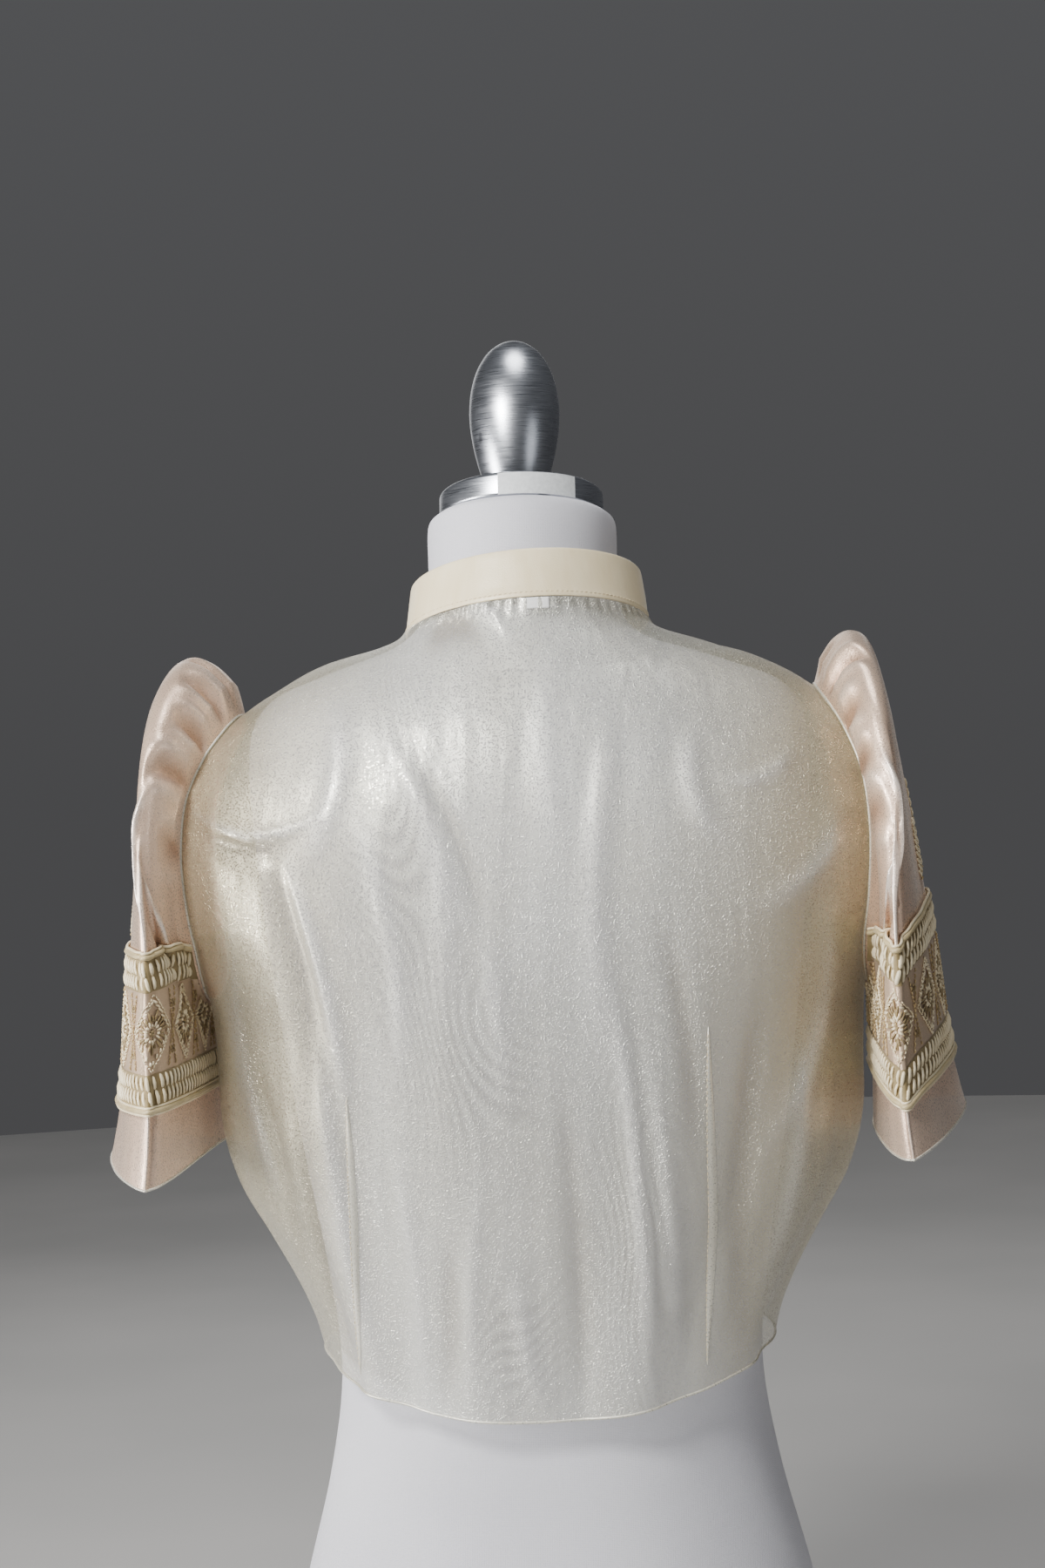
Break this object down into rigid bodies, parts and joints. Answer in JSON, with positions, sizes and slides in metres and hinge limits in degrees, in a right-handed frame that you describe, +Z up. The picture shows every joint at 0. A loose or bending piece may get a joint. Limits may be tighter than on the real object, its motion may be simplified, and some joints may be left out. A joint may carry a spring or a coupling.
{
  "type": "bolero on dress form",
  "caption": "Cropped sheer organza bolero with a stand collar and embroidered butterfly sleeves, worn by a limbless dress form on a round stand.",
  "frame": {"origin": "centre of the base plate's underside", "axes": "+Z up, the wearer faces -Y, +X is the wearer's left"},
  "size_m": [0.487, 0.3, 0.9374],
  "materials": {
    "organza": "sheer ivory organza, plain weave with a silky sheen",
    "sleeve_organza": "doubled sheer organza, warm ivory",
    "collar_satin": "cream satin",
    "label_tape": "white woven tape",
    "embroidery": "cream and old gold silk stitches",
    "form_jersey": "matt white stretch jersey",
    "cap_metal": "brushed",
    "stand_metal": "brushed"
  },
  "bodies": {
    "root": {"back": "organza", "front_left": "organza", "front_right": "organza", "collar": "collar_satin", "neck_label": "label_tape", "sleeve_left": "sleeve_organza", "sleeve_right": "sleeve_organza", "band_left": "embroidery", "band_right": "embroidery", "form_torso": "form_jersey", "neck_cap": "cap_metal", "finial": "cap_metal", "post": "stand_metal", "base_plate": "stand_metal"}
  },
  "joints": []
}
